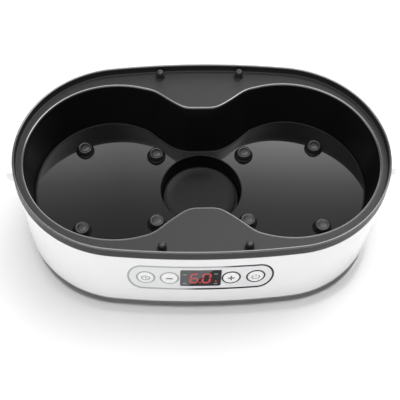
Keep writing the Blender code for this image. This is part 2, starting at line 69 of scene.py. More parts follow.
# Tub. Sizes that no node's box gives repeat the CAD's.
RIM_HALF_LENGTH, RIM_HALF_DEPTH, LIP_TOP_Z = box("tub")[1]
RIM_END_RADIUS = 0.1143
LAND_Z = 0.1093
LIP_THICKNESS = 0.0024
SKIRT_BOTTOM_Z = 0.1045
FLOOR_Z = 0.0501
TUB_WALL = 0.0022
WELL_CENTRE_X = 0.0897
WELL_RADIUS = 0.0960
NECK_HALF_WIDTH = 0.0623
NECK_FRONT = 0.0602
NECK_BACK = 0.0643
NECK_BLUNT_FRONT = 0.0140
NECK_BLUNT_BACK = 0.0160
NECK_BLEND_START = 0.036
NECK_BLEND_LENGTH = 0.026
NECK_REACH = 0.075
WALL_DRAFT = 0.0058
NECK_DRAFT = 0.0075
DISH_DEPTH = 0.0015
RECESS_RADIUS = 0.0437
HEATER_LEDGE_Z = 0.0282
HEATER_LEDGE_RADIUS = 0.0350
SECTIONS = 288

# Shell and end lugs
BASE_HALF_LENGTH = 0.1915
BASE_HALF_DEPTH = 0.1155
BASE_END_RADIUS = 0.1108
SHELL_STEP = 0.0008
SHELL_WALL = 0.0025
SHELL_TOP_Z = 0.1042
SHELL_BOTTOM_Z = box("shell")[0][2]
CORNER_INSET = 0.0040
CORNER_HEIGHT = 0.0052
LUG_REACH, LUG_HALF_WIDTH, _ = box("grip_right")[1]
FIT_GAP = 0.0003
CUT_NEAR_Y = 0.09
CUT_FAR_Y = 0.14

# Panel: one window and four keys
PANEL_X, _, PANEL_Z = middle("display_window")
PANEL_HALF_LENGTH = 0.0735
PANEL_HALF_HEIGHT = 0.0250
PANEL_END = 0.0140
WINDOW_HALF_WIDTH = 0.0207
WINDOW_HALF_HEIGHT = 0.0180
# Edge and softness of the painted reflection across the window and its digits, along a slant
WINDOW_PAINTED_REFLECTION_EDGE = -0.0045
WINDOW_PAINTED_REFLECTION_SOFTNESS = 0.0012
KEYS = ("timer", "minus", "plus", "power")
KEY_HALF_WIDTH = 0.0083
KEY_HALF_HEIGHT = 0.0113
BAR_STEPS = 40

CORNERS = [(side, end) for side in ("left", "right") for end in ("front", "back")]
BASIN = "basin"
SPECULAR = "Specular IOR Level"

# Studio. Sky: degrees from the back horizon over the top to the front one, brightness.
SKY_STOPS = ((0, 0.6), (8, 0.8), (12, 3.8), (34, 3.8), (39, 0.7), (54.5, 0.62), (56, 0.80),
             (57.5, 1.3), (59, 2.4), (60.5, 3.6), (62.5, 4.6), (98, 4.0), (108, 1.05),
             (150, 1.0), (180, 1.0))
SKY_PEAK = 7.0
FLOOR_SIZE = 12.0
FLOOR_STEPS = 24
FLOOR_SINK = 0.00005
CAMERA_LENS = 87.54
CAMERA_SHIFT = 0.031
CAMERA_DISTANCE = 1.1069
CAMERA_ELEVATION = 58.47
CAMERA_SWING = 3.97
CAMERA_ROLL = 2.68


# ---- node helper
class Graph:
    """Short way to add nodes: values in inputs are numbers or other sockets."""

    def __init__(self, tree):
        self.tree = tree

    def node(self, kind, inputs=None, **settings):
        made = self.tree.nodes.new(kind)
        for key, value in settings.items():
            setattr(made, key, value)
        for key, value in (inputs or {}).items():
            if isinstance(value, bpy.types.NodeSocket):
                self.tree.links.new(value, made.inputs[key])
            else:
                made.inputs[key].default_value = value
        return made

    def math(self, operation, *values):
        return self.node("ShaderNodeMath", dict(enumerate(values)),
                         operation=operation).outputs[0]

    def spread(self, value, low, high, to_low, to_high, smooth=False):
        """Value from low to high turned into to_low to to_high."""
        made = self.node("ShaderNodeMapRange",
                         {0: value, 1: low, 2: high, 3: to_low, 4: to_high})
        if smooth:
            made.interpolation_type = "SMOOTHSTEP"
        return made.outputs[0]

    def mix(self, share, one, two):
        """Colour one where share is 0, colour two where it is 1."""
        made = self.node("ShaderNodeMix", {0: share, 6: one, 7: two}, data_type="RGBA")
        return made.outputs[2]

    def noise(self, place, scale, detail=2.0, roughness=0.5):
        made = self.node("ShaderNodeTexNoise", {"Vector": place, "Scale": scale,
                                                "Detail": detail, "Roughness": roughness})
        return made.outputs["Fac"]


def tone(colour, factor):
    """Lighter or darker colour, with its alpha."""
    return (*[min(c * factor, 1.0) for c in colour], 1.0)


def surface(name, colour, roughness, mottle=0.06, patch=120.0, smudge=0.04, grain=2600.0,
            depth=0.00002, strength=0.25, wear=0.0, stretch=None, sockets=None):
    """Principled material with colour mottling, uneven gloss, grain and edge wear."""
    mat = bpy.data.materials.new(name)
    mat.use_nodes = True
    shader = mat.node_tree.nodes["Principled BSDF"]
    g = Graph(mat.node_tree)
    place = g.node("ShaderNodeTexCoord").outputs["Object"]
    if stretch:
        place = g.node("ShaderNodeMapping", {"Vector": place, "Scale": stretch}).outputs[0]
    cloud = g.noise(place, patch, 4.0)
    paint = g.mix(cloud, tone(colour, 1 - mottle), tone(colour, 1 + mottle))
    if wear:
        edge = g.node("ShaderNodeNewGeometry").outputs["Pointiness"]
        rubbed = g.spread(edge, 0.52, 0.60, 0.0, wear)
        patchy = g.spread(g.noise(place, 420.0, 5.0), 0.4, 0.65, 0, 1)
        broken = g.math("MULTIPLY", rubbed, patchy)
        paint = g.mix(broken, paint, tone([0.5 * c + 0.25 for c in colour], 1.0))
    g.tree.links.new(paint, shader.inputs["Base Color"])
    uneven = g.noise(place, patch * 3.1, 5.0, 0.6)
    gloss = g.spread(uneven, 0.3, 0.7, max(roughness - smudge, 0.01), roughness + smudge)
    g.tree.links.new(gloss, shader.inputs["Roughness"])
    bump = g.node("ShaderNodeBump", {"Height": g.noise(place, grain, 3.0, 0.6),
                                     "Strength": strength, "Distance": depth})
    g.tree.links.new(bump.outputs[0], shader.inputs["Normal"])
    for key, value in (sockets or {}).items():
        shader.inputs[key].default_value = value
    return mat


def painted_reflection_share(g, place, edge, softness):
    """Painted reflection: one at the panel's upper left, zero at its lower right, on a slant."""
    xyz = g.node("ShaderNodeSeparateXYZ", {0: place})
    slant = g.math("MULTIPLY", g.math("SUBTRACT", xyz.outputs[2], PANEL_Z), 0.72)
    along = g.math("SUBTRACT", xyz.outputs[0], slant)
    return g.spread(along, edge - softness, edge + softness, 1.0, 0.0, True)


def painted_reflection_surface(name, light, dark, roughness, edge, softness, sockets=None):
    """Polished material with a painted reflection: light on the upper left, dark elsewhere."""
    mat = surface(name, dark, roughness, mottle=0.05, patch=300.0, smudge=0.02,
                  grain=3200.0, depth=0.00001, strength=0.1, sockets=sockets)
    shader = mat.node_tree.nodes["Principled BSDF"]
    g = Graph(mat.node_tree)
    base = shader.inputs["Base Color"].links[0].from_socket
    place = g.node("ShaderNodeTexCoord").outputs["Object"]
    share = painted_reflection_share(g, place, edge, softness)
    g.tree.links.new(g.mix(share, base, (*light, 1.0)), shader.inputs["Base Color"])
    return mat


def make_materials():
    """Every material by its name; board, lit and painted-reflection materials add to a plain one.
    """
    made = {}

    def keep(mat):
        made[mat.name] = mat

    keep(surface("tub_satin", (0.011, 0.011, 0.012), 0.42, mottle=0.10, patch=90.0, smudge=0.05,
                 grain=3400.0, depth=0.00003, strength=0.35, wear=0.05,
                 sockets={SPECULAR: 0.30}))
    keep(surface("tub_edge", (0.016, 0.016, 0.017), 0.12, mottle=0.10, patch=90.0, smudge=0.03,
                 grain=3400.0, depth=0.00001, strength=0.10,
                 sockets={SPECULAR: 1.0, "Coat Weight": 0.45, "Coat Roughness": 0.08,
                          "Coat IOR": 1.8}))
    keep(surface("tub_wall", (0.0036, 0.0036, 0.0040), 0.34, mottle=0.10, patch=60.0,
                 smudge=0.03, grain=1800.0, depth=0.00001, strength=0.06,
                 sockets={SPECULAR: 0.12}))
    keep(surface("tub_gloss", (0.0012, 0.0012, 0.0014), 0.030, mottle=0.10, patch=60.0,
                 smudge=0.012, grain=700.0, depth=0.00001, strength=0.02))
    keep(surface("white_gloss", (0.86, 0.86, 0.865), 0.15, mottle=0.012, patch=40.0,
                 smudge=0.03, grain=420.0, depth=0.00001, strength=0.05,
                 sockets={"Coat Weight": 0.35, "Coat Roughness": 0.05}))
    keep(surface("key_white", (0.87, 0.87, 0.875), 0.26, mottle=0.012, patch=160.0, smudge=0.04,
                 grain=2400.0, depth=0.00001, strength=0.15))
    keep(surface("panel_field", (0.78, 0.785, 0.79), 0.34, mottle=0.015, patch=200.0,
                 smudge=0.05, grain=3000.0, depth=0.00002, strength=0.20))
    # Painted reflection: the trim, key rings and lens are paler on the upper left and near black
    # on the lower right
    keep(painted_reflection_surface("trim_line", light=(0.42, 0.42, 0.43), dark=(0.005, 0.005, 0.006),
                       roughness=0.36, edge=0.004, softness=0.010,
                       sockets={SPECULAR: 0.15}))
    keep(painted_reflection_surface("window_lens", light=(0.105, 0.105, 0.110), dark=(0.006, 0.006, 0.007),
                       roughness=0.07, edge=WINDOW_PAINTED_REFLECTION_EDGE, softness=WINDOW_PAINTED_REFLECTION_SOFTNESS,
                       sockets={SPECULAR: 0.08}))
    keep(surface("mark_grey", (0.045, 0.045, 0.048), 0.50, mottle=0.10, patch=300.0))
    keep(surface("label_grey", (0.42, 0.42, 0.43), 0.45, mottle=0.10, patch=300.0))
    keep(surface("rubber_pad", (0.008, 0.008, 0.009), 0.33, mottle=0.12, patch=260.0,
                 smudge=0.05, grain=2600.0, depth=0.00004, strength=0.35, wear=0.05,
                 sockets={SPECULAR: 0.36}))
    keep(surface("rubber_stud", (0.014, 0.014, 0.015), 0.34, mottle=0.12, patch=260.0,
                 smudge=0.06, grain=2600.0, depth=0.00004, strength=0.35, wear=0.05,
                 sockets={SPECULAR: 0.35}))
    keep(surface("rubber_foot", (0.035, 0.035, 0.036), 0.62, mottle=0.12, patch=260.0,
                 smudge=0.08, grain=1800.0, depth=0.00008, strength=0.5, wear=0.2))
    keep(surface("heater_coat", (0.0030, 0.0030, 0.0034), 0.30, mottle=0.60, patch=1500.0,
                 smudge=0.06, grain=1500.0, depth=0.00012, strength=0.7,
                 sockets={SPECULAR: 0.14}))
    keep(surface("silicone", (0.46, 0.16, 0.10), 0.55, mottle=0.06, patch=90.0))
    keep(surface("turned_steel", (0.55, 0.56, 0.57), 0.30, mottle=0.08, patch=200.0,
                 smudge=0.10, grain=2600.0, depth=0.00003, strength=0.4, wear=0.2,
                 sockets={"Metallic": 1.0}))
    keep(surface("cast_aluminium", (0.70, 0.71, 0.72), 0.42, mottle=0.08, patch=150.0,
                 smudge=0.10, grain=1400.0, depth=0.00008, strength=0.5, wear=0.2,
                 sockets={"Metallic": 1.0}))
    keep(surface("brass_pin", (0.70, 0.50, 0.22), 0.26, mottle=0.08, patch=220.0, smudge=0.08,
                 grain=2600.0, depth=0.00003, strength=0.3, wear=0.2,
                 sockets={"Metallic": 1.0}))
    keep(surface("moulded_black", (0.030, 0.030, 0.032), 0.46, mottle=0.10, patch=90.0,
                 smudge=0.07, grain=1900.0, depth=0.00007, strength=0.5, wear=0.25))
    keep(surface("blue_film", (0.04, 0.11, 0.33), 0.38, mottle=0.08, patch=180.0, smudge=0.06,
                 grain=900.0))
    keep(surface("winding_tape", (0.72, 0.52, 0.08), 0.48, mottle=0.10, patch=140.0,
                 smudge=0.06, grain=900.0, depth=0.00006, strength=0.5,
                 stretch=(1.0, 1.0, 9.0)))
    keep(board_material())
    keep(lit_material())
    keep(surface("studio_floor", (0.60, 0.60, 0.60), 0.85, mottle=0.006, patch=6.0, smudge=0.05,
                 grain=900.0, depth=0.00002, strength=0.05))
    return made


def board_material():
    """Green solder mask with paler tracks on a square grid."""
    mat = surface("green_board", (0.02, 0.14, 0.06), 0.40, mottle=0.10, patch=200.0)
    shader = mat.node_tree.nodes["Principled BSDF"]
    g = Graph(mat.node_tree)
    base = shader.inputs["Base Color"].links[0].from_socket
    place = g.node("ShaderNodeTexCoord").outputs["Object"]
    tracks = g.node("ShaderNodeTexBrick", {"Vector": place, "Scale": 140.0,
                                           "Mortar Size": 0.06, "Color1": (0, 0, 0, 1),
                                           "Color2": (0, 0, 0, 1), "Mortar": (1, 1, 1, 1)})
    share = g.math("MULTIPLY", tracks.outputs["Color"], 0.6)
    g.tree.links.new(g.mix(share, base, (0.06, 0.30, 0.12, 1.0)),
                     shader.inputs["Base Color"])
    return mat


def lit_material():
    """Red light-emitting segments, a little uneven along their length; a painted reflection pales
    those on the upper left.
    """
    mat = surface("lit_segment", (0.10, 0.004, 0.005), 0.35, mottle=0.10, patch=500.0)
    shader = mat.node_tree.nodes["Principled BSDF"]
    g = Graph(mat.node_tree)
    place = g.node("ShaderNodeTexCoord").outputs["Object"]
    share = painted_reflection_share(g, place, WINDOW_PAINTED_REFLECTION_EDGE, WINDOW_PAINTED_REFLECTION_SOFTNESS)
    # Painted reflection: the lit red turns a paler pink where the window's painted reflection
    # lies
    glow_and_painted_reflection = g.mix(share, (0.80, 0.010, 0.014, 1.0), (0.62, 0.075, 0.075, 1.0))
    flicker = g.spread(g.noise(place, 700.0, 3.0), 0.3, 0.7, 0.40, 0.56)
    g.tree.links.new(glow_and_painted_reflection, shader.inputs["Emission Color"])
    g.tree.links.new(flicker, shader.inputs["Emission Strength"])
    return mat


# ---- outlines
def side_radius(length, depth, end_radius):
    """Radius of the long front and back arcs of a four-arc oval."""
    end = length - end_radius
    return (end * end + depth * depth - end_radius ** 2) / (2 * (depth - end_radius))


def oval_reach(angle, length, depth, end_radius):
    """Distance from the middle to a four-arc oval along one direction."""
    c = abs(math.cos(angle))
    s = abs(math.sin(angle))
    end = length - end_radius
    big = side_radius(length, depth, end_radius)
    joint_x = big * end / (big - end_radius)
    joint_y = (depth - big) + big * (big - depth) / (big - end_radius)
    if math.atan2(s, c) < math.atan2(joint_y, joint_x):
        return end * c + math.sqrt(end_radius ** 2 - (end * s) ** 2)
    return (depth - big) * s + math.sqrt(big ** 2 - ((big - depth) * c) ** 2)


def well_field(x, y):
    """Negative inside the two joined wells, zero on the edge of the opening."""
    out = abs(x)
    if out >= WELL_CENTRE_X:
        return math.hypot(out - WELL_CENTRE_X, y) - WELL_RADIUS
    tip, blunt = (NECK_FRONT, NECK_BLUNT_FRONT) if y < 0 else (NECK_BACK, NECK_BLUNT_BACK)
    tongue = tip + ((0.8 * out) ** 5 + blunt ** 5) ** 0.2 - blunt
    circle = math.sqrt(WELL_RADIUS ** 2 - (out - WELL_CENTRE_X) ** 2)
    share = min(max((out - NECK_BLEND_START) / NECK_BLEND_LENGTH, 0.0), 1.0)
    share = share * share * (3 - 2 * share)
    return abs(y) - tongue - (circle - tongue) * share


def well_reach(angle):
    """Distance from the middle to the edge of the opening along one direction."""
    low, high = 0.02, 0.25
    for _ in range(48):
        mid = (low + high) / 2
        if well_field(mid * math.cos(angle), mid * math.sin(angle)) < 0:
            low = mid
        else:
            high = mid
    return low


def section_angles(count):
    """Directions spaced evenly along the opening, closer together at the neck."""
    fine = 1200
    extra, neck = 1.3, 0.026
    lengths = [0.0]
    last = None
    for i in range(fine + 1):
        angle = math.pi / 2 * i / fine
        reach = well_reach(angle)
        point = Vector((reach * math.cos(angle), reach * math.sin(angle)))
        if last is not None:
            weight = 1 + extra * math.exp(-(point.x / neck) ** 2)
            lengths.append(lengths[-1] + (point - last).length * weight)
        last = point
    quarter = count // 4
    first = [0.0]
    i = 0
    for k in range(1, quarter + 1):
        goal = lengths[-1] * k / quarter - 1e-12
        while lengths[i + 1] < goal:
            i += 1
        part = (goal - lengths[i]) / (lengths[i + 1] - lengths[i])
        first.append(math.pi / 2 * (i + part) / fine)
    half = first + [math.pi - a for a in reversed(first[:-1])]
    return half + [math.pi * 2 - a for a in reversed(half[1:-1])]


ANGLES = section_angles(SECTIONS)


def oval_ring(length, depth, end_radius, z):
    """Ring round a four-arc oval."""
    ring = []
    for a in ANGLES:
        reach = oval_reach(a, length, depth, end_radius)
        ring.append((reach * math.cos(a), reach * math.sin(a), z))
    return ring


def rim_ring(inset, z):
    """Ring that follows the rim, moved in by inset."""
    return oval_ring(RIM_HALF_LENGTH - inset, RIM_HALF_DEPTH - inset, RIM_END_RADIUS - inset, z)


def shell_size(z):
    """Half length, half depth and end radius of the shell's outer face at z."""
    t = (SHELL_TOP_Z - z) / (SHELL_TOP_Z - SHELL_BOTTOM_Z)
    length = (RIM_HALF_LENGTH - SHELL_STEP) * (1 - t) + BASE_HALF_LENGTH * t
    depth = (RIM_HALF_DEPTH - SHELL_STEP) * (1 - t) + BASE_HALF_DEPTH * t
    radius = (RIM_END_RADIUS - SHELL_STEP) * (1 - t) + BASE_END_RADIUS * t
    return length, depth, radius


def shell_ring(inset, z):
    """Ring that follows the shell's tapered outer face, moved in by inset."""
    length, depth, radius = shell_size(z)
    return oval_ring(length - inset, depth - inset, radius - inset, z)


def front_y(x, z, inset=0.0):
    """Y of the shell's front face at x and z, moved in by inset."""
    length, depth, radius = shell_size(z)
    big = side_radius(length, depth, radius)
    return -(math.sqrt((big - inset) ** 2 - x * x) - (big - depth))


def well_points():
    """Edge of the opening with the direction that points into the well."""
    points = []
    for a in ANGLES:
        reach = well_reach(a)
        x, y = reach * math.cos(a), reach * math.sin(a)
        step = 1e-5
        dx = well_field(x + step, y) - well_field(x - step, y)
        dy = well_field(x, y + step) - well_field(x, y - step)
        size = math.hypot(dx, dy)
        points.append((x, y, -dx / size, -dy / size))
    return points


WELL = well_points()


def well_ring(inset, z):
    """Ring along the opening, moved into the well by inset."""
    return [(x + nx * inset, y + ny * inset, z) for x, y, nx, ny in WELL]


def wall_ring(share, z, outward=0.0):
    """Ring on the well wall: share 0 at the opening, 1 at the floor."""
    ring = []
    for x, y, nx, ny in WELL:
        neck = NECK_DRAFT + (NECK_FRONT if y < 0 else NECK_BACK) - NECK_HALF_WIDTH
        draft = WALL_DRAFT + neck * math.exp(-(abs(x) / NECK_REACH) ** 2.5)
        inset = draft * share - outward
        ring.append((x + nx * inset, y + ny * inset, z))
    return ring


def round_ring(radius, z, guide):
    """Circle whose points face those of a guide ring."""
    ring = []
    for x, y, _ in guide:
        size = math.hypot(x, y)
        ring.append((x / size * radius, y / size * radius, z))
    return ring


def dish(x, y):
    """Height of the shallow bowl in each well floor, above FLOOR_Z."""
    along = math.hypot(x, 0.02) - WELL_CENTRE_X
    bend = 1.0 if along > 0 else 0.35
    return (bend * along ** 2 + 0.8 * y * y) / 2 - DISH_DEPTH


def dished(ring, share=1.0):
    """The ring raised by a share of the bowl in the floor."""
    return [(x, y, z + share * dish(x, y)) for x, y, z in ring]


def between(one, two, share):
    """Ring part of the way from one ring to another."""
    return [tuple(p + (q - p) * share for p, q in zip(a, b)) for a, b in zip(one, two)]


def arc(centre_u, centre_z, radius_u, radius_z, start, stop, steps):
    """Points of an elliptical arc in a profile plane, angles in degrees."""
    points = []
    for i in range(steps + 1):
        a = math.radians(start + (stop - start) * i / steps)
        points.append((centre_u + radius_u * math.cos(a), centre_z + radius_z * math.sin(a)))
    return points


# ---- mesh builders
def make_object(name, bm, mat, angle=35):
    """Smooth object from a bmesh, faces turned outward; edges above angle stay sharp."""
    bmesh.ops.recalc_face_normals(bm, faces=bm.faces)
    mesh = bpy.data.meshes.new(name)
    bm.to_mesh(mesh)
    bm.free()
    obj = bpy.data.objects.new(name, mesh)
    bpy.context.scene.collection.objects.link(obj)
    mesh.materials.append(mat)
    mesh.shade_smooth()
    mesh.set_sharp_from_angle(angle=math.radians(angle))
    return obj


def bridge(bm, one, two):
    """Four-sided faces between two loops of equal count."""
    for i in range(len(one)):
        j = (i + 1) % len(one)
        bm.faces.new((one[i], one[j], two[j], two[i]))


def loft(name, rings, mat, closed=True, angle=35, ends=True):
    """Skin through rings of equal count; closed joins the last to the first."""
    bm = bmesh.new()
    rows = [[bm.verts.new(p) for p in ring] for ring in rings]
    pairs = list(zip(rows, rows[1:]))
    if closed:
        pairs.append((rows[-1], rows[0]))
    elif ends:
        bm.faces.new(rows[0])
        bm.faces.new(rows[-1])
    for one, two in pairs:
        bridge(bm, one, two)
    return make_object(name, bm, mat, angle)


def turned(name, profile, mat, sides=64, place=(0, 0, 0), closed=False, angle=35, axis="Z"):
    """Solid of revolution; an open profile gets flat ends."""
    rings = []
    for radius, z in profile:
        ring = []
        for i in range(sides):
            a = 2 * math.pi * i / sides
            x, y = radius * math.cos(a), radius * math.sin(a)
            point = (x, y, z) if axis == "Z" else (x, z, y)
            ring.append(tuple(p + q for p, q in zip(point, place)))
        rings.append(ring)
    return loft(name, rings, mat, closed, angle)


def block(name, low, high, mat, bevel=0.0, steps=3):
    """Box between two corners with rounded edges."""
    bm = bmesh.new()
    xs, ys, zs = zip(low, high)
    corner = {(i, j, k): bm.verts.new((xs[i], ys[j], zs[k]))
              for i in (0, 1) for j in (0, 1) for k in (0, 1)}
    for fixed in range(3):
        for end in (0, 1):
            loop = []
            for i, j in ((0, 0), (1, 0), (1, 1), (0, 1)):
                key = [i, j]
                key.insert(fixed, end)
                loop.append(corner[tuple(key)])
            bm.faces.new(loop)
    if bevel:
        bmesh.ops.recalc_face_normals(bm, faces=bm.faces)
        bmesh.ops.bevel(bm, geom=bm.edges[:], offset=bevel, segments=steps, affect="EDGES",
                        profile=0.5)
    return make_object(name, bm, mat)


def swung(side, low, high):
    """Corners of a box at the right end (side 1), or mirrored to the left one (-1)."""
    near, far = sorted((side * low[0], side * high[0]))
    return (near, *low[1:]), (far, *high[1:])


def prism_y(name, outline, y_low, y_high, mat):
    """Straight prism along Y over an outline of (x, z) points."""
    rings = [[(x, y, z) for x, z in outline] for y in (y_low, y_high)]
    return loft(name, rings, mat, False)


def combine(obj, others, operation, angle=35):
    """Boolean of obj with each of the others, which are then removed."""
    for other in others:
        mod = obj.modifiers.new(operation.lower(), "BOOLEAN")
        mod.operation = operation
        mod.solver = "EXACT"
        mod.object = other
    bpy.context.view_layer.update()
    graph = bpy.context.evaluated_depsgraph_get()
    mesh = bpy.data.meshes.new_from_object(obj.evaluated_get(graph))
    obj.modifiers.clear()
    obj.data = mesh
    mesh.shade_smooth()
    mesh.set_sharp_from_angle(angle=math.radians(angle))
    for other in others:
        bpy.data.objects.remove(other)
    return obj


def stadium(cx, cz, half_length, half_height, end, grow):
    """Bar outline with elliptical ends, grown evenly by grow."""
    points = []
    for side in (1, -1):
        for i in range(BAR_STEPS + 1):
            a = math.pi * (i / BAR_STEPS - 0.5)
            x = half_length - end + (end + grow) * math.cos(a)
            z = (half_height + grow) * math.sin(a)
            points.append((cx + side * x, cz + side * z))
        for i in range(1, BAR_STEPS):
            x = (half_length - end) * (1 - 2 * i / BAR_STEPS)
            points.append((cx + side * x, cz + side * (half_height + grow)))
    return points


def ellipse(cx, cz, half_width, half_height, grow=0.0, count=72):
    """Ellipse outline, grown evenly by grow."""
    return [(cx + (half_width + grow) * math.cos(2 * math.pi * i / count),
             cz + (half_height + grow) * math.sin(2 * math.pi * i / count))
            for i in range(count)]


def round_box_outline(cx, cz, half_width, half_height, radius, grow, count=10):
    """Rectangle outline with round corners, grown evenly by grow."""
    points = []
    for quarter, (sx, sz) in enumerate(((1, 1), (-1, 1), (-1, -1), (1, -1))):
        for i in range(count + 1):
            a = math.pi / 2 * (quarter + i / count)
            x = sx * (half_width - radius) + (radius + grow) * math.cos(a)
            z = sz * (half_height - radius) + (radius + grow) * math.sin(a)
            points.append((cx + x, cz + z))
        if sx * sz > 0:
            for i in range(1, 2 * count):
                x = sx * (half_width - radius) * (1 - i / count)
                points.append((cx + x, cz + sz * (half_height + grow)))
    return points


def panel_outline(grow):
    """Outline of the panel plate, grown evenly by grow."""
    return stadium(PANEL_X, PANEL_Z, PANEL_HALF_LENGTH, PANEL_HALF_HEIGHT, PANEL_END, grow)


def key_outline(name, grow):
    """Outline of one key cap, grown evenly by grow."""
    x, _, z = middle(f"button_{name}")
    return ellipse(x, z, KEY_HALF_WIDTH, KEY_HALF_HEIGHT, grow)


def window_outline(grow):
    """Outline of the display window, grown evenly by grow."""
    return round_box_outline(PANEL_X, PANEL_Z, WINDOW_HALF_WIDTH, WINDOW_HALF_HEIGHT,
                             0.0022, grow)


def on_front(outline, depth):
    """Lay an outline of (x, z) points on the curved front, depth inside its face."""
    return [(x, front_y(x, z, depth), z) for x, z in outline]


def front_band(name, outer, inner, layers, mat):
    """Closed bead between two outlines: layers are (share from outer to inner, depth)."""
    rings = []
    for share, depth in layers:
        line = [(a[0] + (b[0] - a[0]) * share, a[1] + (b[1] - a[1]) * share)
                for a, b in zip(outer, inner)]
        rings.append(on_front(line, depth))
    return loft(name, rings, mat, True, 50)


def front_cap(name, outline_at, layers, mat, centre, crown, angle=30):
    """Cap on the front: side layers of (grow, depth), then rings shrinking to a crown.

    outline_at gives the cap's outline for an amount of grow.
    """
    rings = [on_front(outline_at(grow), depth) for grow, depth in layers]
    edge = outline_at(layers[-1][0])
    last_depth = layers[-1][1]
    for scale in (0.86, 0.70, 0.52, 0.34, 0.17, 0.04):
        ring = [(centre[0] + (x - centre[0]) * scale, centre[1] + (z - centre[1]) * scale)
                for x, z in edge]
        rings.append(on_front(ring, last_depth - crown * (1 - scale ** 2)))
    return loft(name, rings, mat, False, angle)


def front_mark(name, polygons, depth, thick, mat):
    """Thin printed or lit shapes on the front, from closed (x, z) polygons."""
    bm = bmesh.new()
    for polygon in polygons:
        rows = []
        for inset in (depth, depth - thick):
            rows.append([bm.verts.new(p) for p in on_front(polygon, inset)])
        bm.faces.new(rows[0])
        bm.faces.new(rows[1])
        bridge(bm, *rows)
    return make_object(name, bm, mat, 30)


def settle(obj, nodes=(), body=BASIN):
    """Ride on a body and stand for CAD nodes."""
    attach(obj, body)
    if nodes:
        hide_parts(*nodes)
    return obj


# ---- tub
def make_tub():
    """One skin from the skirt over the lip, down the wells and back below the floor."""
    lip = LIP_THICKNESS
    half = lip / 2
    rings = [rim_ring(0.0, SKIRT_BOTTOM_Z + 0.0005)]
    rings += [rim_ring(0.0, z) for z in (0.1075, 0.1120, LIP_TOP_Z - half - 0.0003)]
    lip_start = len(rings) - 1
    rings += [rim_ring(u, z) for u, z in arc(half, LIP_TOP_Z - half, half, half, 180, 0, 12)]
    lip_stop = len(rings) - 1
    rings.append(rim_ring(lip + 0.0001, LAND_Z + 0.0016))
    rings += [rim_ring(u, z) for u, z in
              arc(lip + 0.0014, LAND_Z + 0.0013, 0.0012, 0.0012, 180, 270, 6)]
    rings.append(rim_ring(lip + 0.0018, LAND_Z + 0.0001))
    edge_start = len(rings)
    radius = 0.0019
    rings.append(well_ring(-radius - 0.0005, LAND_Z))
    rings += [well_ring(u, z) for u, z in arc(-radius, LAND_Z - radius, radius, radius, 90, 0, 9)]
    wall_start = len(rings) - 1
    top_z = LAND_Z - radius - 0.0005
    fillet = 0.0014
    for share in (0.0, 0.2, 0.4, 0.6, 0.8, 0.92):
        ring = wall_ring(share * 0.94 + 0.02, top_z + (FLOOR_Z + fillet - top_z) * share)
        rings.append(dished(ring, share * share))
    for u, z in arc(fillet, FLOOR_Z + fillet, fillet, fillet, 180, 270, 9):
        rings.append(dished(wall_ring(0.96 + 0.04 * u / fillet, z, -u)))
    floor_start = len(rings)
    guide = wall_ring(1.0, FLOOR_Z, -fillet - 0.0008)
    rim = RECESS_RADIUS
    inner = round_ring(rim + 0.0012, FLOOR_Z, guide)
    steps = 16
    rings += [dished(between(guide, inner, step / steps)) for step in range(steps + 1)]
    recess_start = len(rings) - 1
    radius = 0.0007
    for u, z in arc(rim + radius, FLOOR_Z - radius, radius, radius, 90, 180, 6):
        rings.append(dished(round_ring(u, z, guide)))
    ledge = HEATER_LEDGE_Z
    rings += [round_ring(r, z, guide) for r, z in
              ((rim - 0.0008, ledge + 0.0012), (rim - 0.0016, ledge + 0.0001),
               (rim - 0.0022, ledge), (HEATER_LEDGE_RADIUS, ledge))]
    recess_stop = len(rings) - 1
    rings += [round_ring(r, z - TUB_WALL, guide) for r, z in
              ((HEATER_LEDGE_RADIUS, ledge), (rim + 0.0012, ledge), (rim + 0.0023, FLOOR_Z))]
    rings += [wall_ring(1.0, FLOOR_Z - TUB_WALL, -0.0010),
              wall_ring(0.97, FLOOR_Z + 0.0035, TUB_WALL),
              well_ring(-TUB_WALL, LAND_Z - 0.0045),
              well_ring(-TUB_WALL - 0.0015, LAND_Z - 0.0025),
              rim_ring(lip, LAND_Z - 0.0025), rim_ring(lip, SKIRT_BOTTOM_Z),
              rim_ring(0.0005, SKIRT_BOTTOM_Z)]
    tub = loft("basin_tub", rings, MAT["tub_satin"], True, 50)
    finishes = (("tub_edge", lip_start, lip_stop), ("tub_edge", edge_start, wall_start),
                ("tub_wall", wall_start, floor_start), ("tub_gloss", floor_start, recess_start),
                ("tub_wall", recess_start, recess_stop), ("tub_gloss", recess_stop, len(rings)))
    for name in ("tub_edge", "tub_wall", "tub_gloss"):
        tub.data.materials.append(MAT[name])
    for poly in tub.data.polygons:
        row = poly.index // SECTIONS
        for name, start, stop in finishes:
            if start <= row < stop:
                poly.material_index = tub.data.materials.find(name)
    settle(tub, ["tub"])


